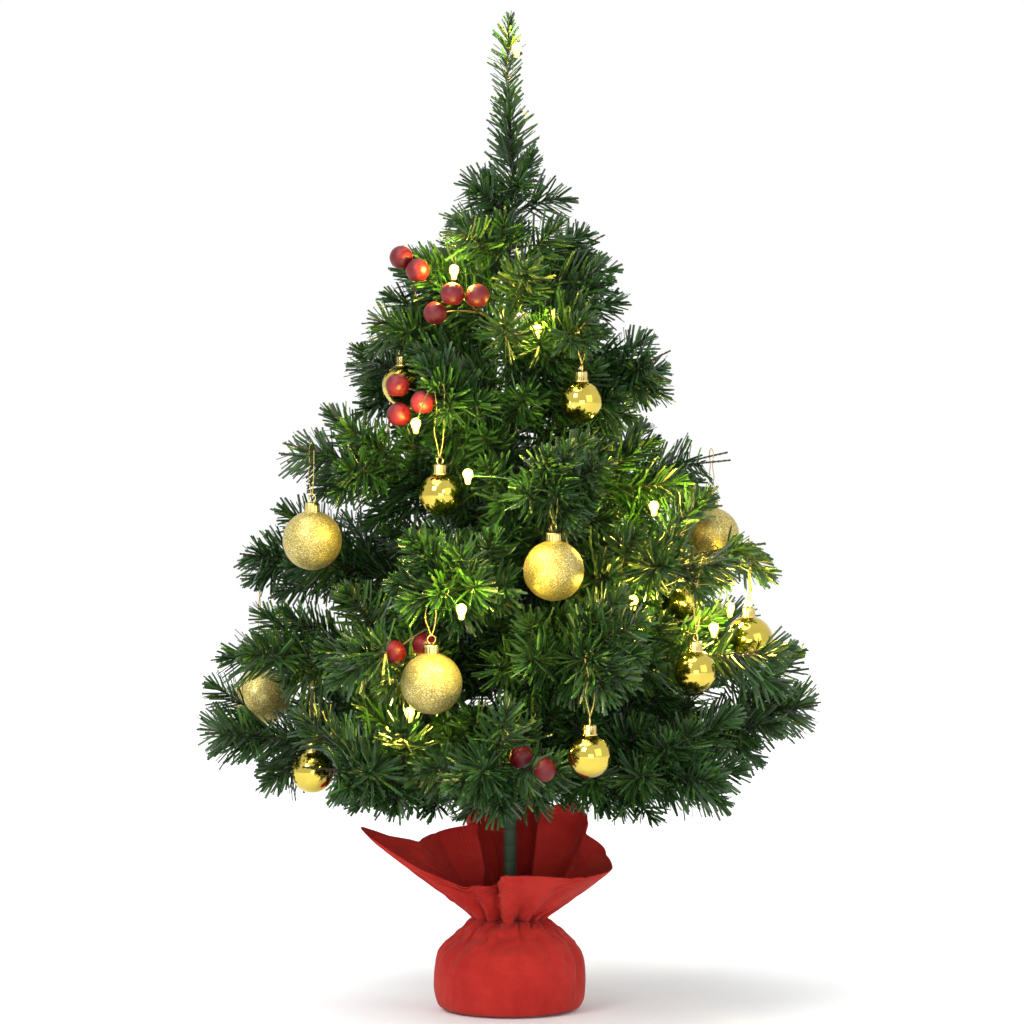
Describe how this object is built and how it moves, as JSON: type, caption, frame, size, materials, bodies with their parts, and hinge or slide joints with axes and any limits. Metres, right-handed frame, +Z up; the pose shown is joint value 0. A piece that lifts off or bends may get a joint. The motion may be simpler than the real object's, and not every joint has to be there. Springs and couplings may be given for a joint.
{
  "type": "artificial tabletop tree",
  "caption": "Tabletop artificial tree of bendable brush branches on a pole, in a cloth-wrapped cement base, with hanging baubles, berry picks and battery lights.",
  "frame": {"origin": "centre of the base's underside, on the surface it stands on", "axes": "+Z up along the pole, -Y towards the front"},
  "size_m": [0.3702, 0.3464, 0.6],
  "materials": {
    "cement": "matte",
    "cup_plastic": "satin",
    "sleeve_plastic": "satin",
    "red_cloth": "matte",
    "tie_thread": "matte",
    "pole_green": "matte",
    "needle_green": "matte",
    "glitter_gold": "matte",
    "shiny_gold": "polished",
    "berry_red": "satin",
    "box_green": "satin",
    "cell_wrap": "satin",
    "switch_black": "satin",
    "wire_green": "matte"
  },
  "bodies": {
    "base": {"cement_weight": "cement", "base_cup": "cup_plastic", "pole_sleeve": "sleeve_plastic", "fabric_wrap": "red_cloth", "neck_tie": "tie_thread", "trunk_pole": "pole_green", "light_wire": "wire_green", "battery_box": "box_green", "battery_cell_1": "cell_wrap", "battery_cell_2": "cell_wrap", "berry_sprig_1": "berry_red"},
    "leader": {"leader_brush": "needle_green"},
    "branch_1a": {"branch_1a": "needle_green"},
    "branch_1b": {"branch_1b": "needle_green"},
    "branch_1c": {"branch_1c": "needle_green", "berry_sprig_5": "berry_red"},
    "branch_1d": {"branch_1d": "needle_green"},
    "branch_1e": {"branch_1e": "needle_green"},
    "branch_1f": {"branch_1f": "needle_green"},
    "branch_1g": {"branch_1g": "needle_green"},
    "branch_2a": {"branch_2a": "needle_green"},
    "branch_2b": {"branch_2b": "needle_green"},
    "branch_2c": {"branch_2c": "needle_green"},
    "branch_2d": {"branch_2d": "needle_green"},
    "branch_2e": {"branch_2e": "needle_green"},
    "branch_2f": {"branch_2f": "needle_green"},
    "branch_3a": {"branch_3a": "needle_green"},
    "branch_3b": {"branch_3b": "needle_green", "berry_sprig_4": "berry_red"},
    "branch_3c": {"branch_3c": "needle_green"},
    "branch_3d": {"branch_3d": "needle_green"},
    "branch_3e": {"branch_3e": "needle_green"},
    "branch_4a": {"branch_4a": "needle_green"},
    "branch_4b": {"branch_4b": "needle_green"},
    "branch_4c": {"branch_4c": "needle_green"},
    "branch_4d": {"branch_4d": "needle_green"},
    "branch_5a": {"branch_5a": "needle_green", "berry_sprig_2": "berry_red"},
    "branch_5b": {"branch_5b": "needle_green"},
    "branch_5c": {"branch_5c": "needle_green"},
    "branch_6a": {"branch_6a": "needle_green", "berry_sprig_3": "berry_red"},
    "branch_6b": {"branch_6b": "needle_green"},
    "branch_7a": {"branch_7a": "needle_green"},
    "branch_7b": {"branch_7b": "needle_green"},
    "glitter_bauble_1": {"glitter_bauble_1": "glitter_gold"},
    "glitter_bauble_2": {"glitter_bauble_2": "glitter_gold"},
    "glitter_bauble_3": {"glitter_bauble_3": "glitter_gold"},
    "glitter_bauble_4": {"glitter_bauble_4": "glitter_gold"},
    "glitter_bauble_5": {"glitter_bauble_5": "glitter_gold"},
    "shiny_bauble_1": {"shiny_bauble_1": "shiny_gold"},
    "shiny_bauble_2": {"shiny_bauble_2": "shiny_gold"},
    "shiny_bauble_3": {"shiny_bauble_3": "shiny_gold"},
    "shiny_bauble_4": {"shiny_bauble_4": "shiny_gold"},
    "shiny_bauble_5": {"shiny_bauble_5": "shiny_gold"},
    "shiny_bauble_6": {"shiny_bauble_6": "shiny_gold"},
    "shiny_bauble_7": {"shiny_bauble_7": "shiny_gold"},
    "shiny_bauble_8": {"shiny_bauble_8": "shiny_gold"},
    "lid": {"battery_lid": "box_green"},
    "switch": {"switch_slider": "switch_black"}
  },
  "joints": [
    {"name": "leader_bend", "type": "hinge", "parent": "base", "child": "leader", "pos_m": [0, 0, 0.455], "axis": [1, 0, 0], "range_deg": [-10, 10]},
    {"name": "bend_1a", "type": "hinge", "parent": "base", "child": "branch_1a", "pos_m": [-0.00464, -0.00082, 0.128], "axis": [-0.1736, 0.9848, 0], "range_deg": [-8, 8]},
    {"name": "bend_1b", "type": "hinge", "parent": "base", "child": "branch_1b", "pos_m": [-0.0029, -0.00371, 0.128], "axis": [-0.788, 0.6157, 0], "range_deg": [-8, 8]},
    {"name": "bend_1c", "type": "hinge", "parent": "base", "child": "branch_1c", "pos_m": [-0.00041, -0.00469, 0.128], "axis": [-0.9962, 0.0872, 0], "range_deg": [-8, 8]},
    {"name": "bend_1d", "type": "hinge", "parent": "base", "child": "branch_1d", "pos_m": [0.00327, -0.00338, 0.128], "axis": [-0.7193, -0.6947, 0], "range_deg": [-8, 8]},
    {"name": "bend_1e", "type": "hinge", "parent": "base", "child": "branch_1e", "pos_m": [0.00467, -0.00057, 0.128], "axis": [-0.1219, -0.9925, 0], "range_deg": [-8, 8]},
    {"name": "bend_1f", "type": "hinge", "parent": "base", "child": "branch_1f", "pos_m": [0.00235, 0.00408, 0.128], "axis": [0.866, -0.5, 0], "range_deg": [-8, 8]},
    {"name": "bend_1g", "type": "hinge", "parent": "base", "child": "branch_1g", "pos_m": [-0.00302, 0.00361, 0.128], "axis": [0.766, 0.6428, 0], "range_deg": [-8, 8]},
    {"name": "bend_2a", "type": "hinge", "parent": "base", "child": "branch_2a", "pos_m": [-0.00419, -0.00169, 0.19013], "axis": [-0.3746, 0.9272, 0], "range_deg": [-8, 8]},
    {"name": "bend_2b", "type": "hinge", "parent": "base", "child": "branch_2b", "pos_m": [-0.00272, -0.00361, 0.19013], "axis": [-0.7986, 0.6018, 0], "range_deg": [-8, 8]},
    {"name": "bend_2c", "type": "hinge", "parent": "base", "child": "branch_2c", "pos_m": [0.00132, -0.00432, 0.19013], "axis": [-0.9563, -0.2924, 0], "range_deg": [-8, 8]},
    {"name": "bend_2d", "type": "hinge", "parent": "base", "child": "branch_2d", "pos_m": [0.00391, -0.00226, 0.19013], "axis": [-0.5, -0.866, 0], "range_deg": [-8, 8]},
    {"name": "bend_2e", "type": "hinge", "parent": "base", "child": "branch_2e", "pos_m": [0.00383, 0.00239, 0.19013], "axis": [0.5299, -0.848, 0], "range_deg": [-8, 8]},
    {"name": "bend_2f", "type": "hinge", "parent": "base", "child": "branch_2f", "pos_m": [-0.00169, 0.00419, 0.19013], "axis": [0.9272, 0.3746, 0], "range_deg": [-8, 8]},
    {"name": "bend_3a", "type": "hinge", "parent": "base", "child": "branch_3a", "pos_m": [-0.0043, 0.00076, 0.24016], "axis": [0.1736, 0.9848, 0], "range_deg": [-6, 8]},
    {"name": "bend_3b", "type": "hinge", "parent": "base", "child": "branch_3b", "pos_m": [-0.00135, -0.00415, 0.24016], "axis": [-0.9511, 0.309, 0], "range_deg": [-8, 8]},
    {"name": "bend_3c", "type": "hinge", "parent": "base", "child": "branch_3c", "pos_m": [0.00329, -0.00286, 0.24016], "axis": [-0.6561, -0.7547, 0], "range_deg": [-8, 8]},
    {"name": "bend_3d", "type": "hinge", "parent": "base", "child": "branch_3d", "pos_m": [0.00435, -0.0003, 0.24016], "axis": [-0.0698, -0.9976, 0], "range_deg": [-8, 8]},
    {"name": "bend_3e", "type": "hinge", "parent": "base", "child": "branch_3e", "pos_m": [0.00177, 0.00398, 0.24016], "axis": [0.9135, -0.4067, 0], "range_deg": [-8, 8]},
    {"name": "bend_4a", "type": "hinge", "parent": "base", "child": "branch_4a", "pos_m": [-0.00386, -0.00172, 0.28496], "axis": [-0.4067, 0.9135, 0], "range_deg": [-8, 8]},
    {"name": "bend_4b", "type": "hinge", "parent": "base", "child": "branch_4b", "pos_m": [0.00102, -0.0041, 0.28496], "axis": [-0.9703, -0.2419, 0], "range_deg": [-8, 8]},
    {"name": "bend_4c", "type": "hinge", "parent": "base", "child": "branch_4c", "pos_m": [0.00406, 0.00116, 0.28496], "axis": [0.2756, -0.9613, 0], "range_deg": [-8, 8]},
    {"name": "bend_4d", "type": "hinge", "parent": "base", "child": "branch_4d", "pos_m": [-0.00109, 0.00408, 0.28496], "axis": [0.9659, 0.2588, 0], "range_deg": [-8, 8]},
    {"name": "bend_5a", "type": "hinge", "parent": "base", "child": "branch_5a", "pos_m": [-0.00185, -0.00364, 0.33009], "axis": [-0.891, 0.454, 0], "range_deg": [-8, 8]},
    {"name": "bend_5b", "type": "hinge", "parent": "base", "child": "branch_5b", "pos_m": [0.00394, -0.00106, 0.33009], "axis": [-0.2588, -0.9659, 0], "range_deg": [-8, 8]},
    {"name": "bend_5c", "type": "hinge", "parent": "base", "child": "branch_5c", "pos_m": [-0.00388, 0.00126, 0.33009], "axis": [0.309, 0.9511, 0], "range_deg": [-8, 8]},
    {"name": "bend_6a", "type": "hinge", "parent": "base", "child": "branch_6a", "pos_m": [-0.00375, -0.00122, 0.37489], "axis": [-0.309, 0.9511, 0], "range_deg": [-8, 8]},
    {"name": "bend_6b", "type": "hinge", "parent": "base", "child": "branch_6b", "pos_m": [0.00221, -0.00327, 0.37489], "axis": [-0.829, -0.5592, 0], "range_deg": [-8, 8]},
    {"name": "bend_7a", "type": "hinge", "parent": "base", "child": "branch_7a", "pos_m": [-0.00219, 0.00312, 0.41805], "axis": [0.8192, 0.5736, 0], "range_deg": [-8, 8]},
    {"name": "bend_7b", "type": "hinge", "parent": "base", "child": "branch_7b", "pos_m": [0.00346, 0.00161, 0.41805], "axis": [0.4226, -0.9063, 0], "range_deg": [-8, 8]},
    {"name": "glitter_swing_1", "type": "hinge", "parent": "branch_4a", "child": "glitter_bauble_1", "pos_m": [-0.11643, -0.05184, 0.33639], "axis": [-0.9135, -0.4067, 0], "range_deg": [-10, 10]},
    {"name": "glitter_swing_2", "type": "hinge", "parent": "branch_4b", "child": "glitter_bauble_2", "pos_m": [0.0252, -0.10108, 0.31125], "axis": [0.2419, -0.9703, 0], "range_deg": [-10, 10]},
    {"name": "glitter_swing_3", "type": "hinge", "parent": "branch_3b", "child": "glitter_bauble_3", "pos_m": [-0.04434, -0.13646, 0.25467], "axis": [-0.309, -0.9511, 0], "range_deg": [-10, 10]},
    {"name": "glitter_swing_4", "type": "hinge", "parent": "branch_4c", "child": "glitter_bauble_4", "pos_m": [0.12312, 0.0353, 0.33273], "axis": [0.9613, 0.2756, 0], "range_deg": [-10, 10]},
    {"name": "glitter_swing_5", "type": "hinge", "parent": "branch_3a", "child": "glitter_bauble_5", "pos_m": [-0.15165, 0.02674, 0.2718], "axis": [-0.9848, 0.1736, 0], "range_deg": [-10, 10]},
    {"name": "shiny_swing_1", "type": "hinge", "parent": "branch_5a", "child": "shiny_bauble_1", "pos_m": [-0.04062, -0.07972, 0.37185], "axis": [-0.454, -0.891, 0], "range_deg": [-10, 10]},
    {"name": "shiny_swing_2", "type": "hinge", "parent": "branch_2a", "child": "shiny_bauble_2", "pos_m": [-0.11656, -0.04709, 0.21267], "axis": [-0.9272, -0.3746, 0], "range_deg": [-10, 5]},
    {"name": "shiny_swing_3", "type": "hinge", "parent": "branch_2c", "child": "shiny_bauble_3", "pos_m": [0.045, -0.14718, 0.21874], "axis": [0.2924, -0.9563, 0], "range_deg": [-6, 10]},
    {"name": "shiny_swing_4", "type": "hinge", "parent": "branch_6b", "child": "shiny_bauble_4", "pos_m": [0.04179, -0.06195, 0.4091], "axis": [0.5592, -0.829, 0], "range_deg": [-10, 10]},
    {"name": "shiny_swing_5", "type": "hinge", "parent": "branch_6a", "child": "shiny_bauble_5", "pos_m": [-0.06407, -0.02082, 0.4091], "axis": [-0.9511, -0.309, 0], "range_deg": [-10, 10]},
    {"name": "shiny_swing_6", "type": "hinge", "parent": "branch_3c", "child": "shiny_bauble_6", "pos_m": [0.10717, -0.09316, 0.26962], "axis": [0.7547, -0.6561, 0], "range_deg": [-10, 10]},
    {"name": "shiny_swing_7", "type": "hinge", "parent": "branch_3d", "child": "shiny_bauble_7", "pos_m": [0.14312, -0.01001, 0.27892], "axis": [0.9976, -0.0698, 0], "range_deg": [-10, 10]},
    {"name": "shiny_swing_8", "type": "hinge", "parent": "branch_3d", "child": "shiny_bauble_8", "pos_m": [0.10283, -0.00719, 0.27195], "axis": [0.9976, -0.0698, 0], "range_deg": [-10, 10]},
    {"name": "lid_slide", "type": "slide", "parent": "base", "child": "lid", "axis": [1, 0, 0], "range_m": [0, 0.02]},
    {"name": "switch_slide", "type": "slide", "parent": "base", "child": "switch", "axis": [0, 0, 1], "range_m": [0, 0.004]}
  ]
}
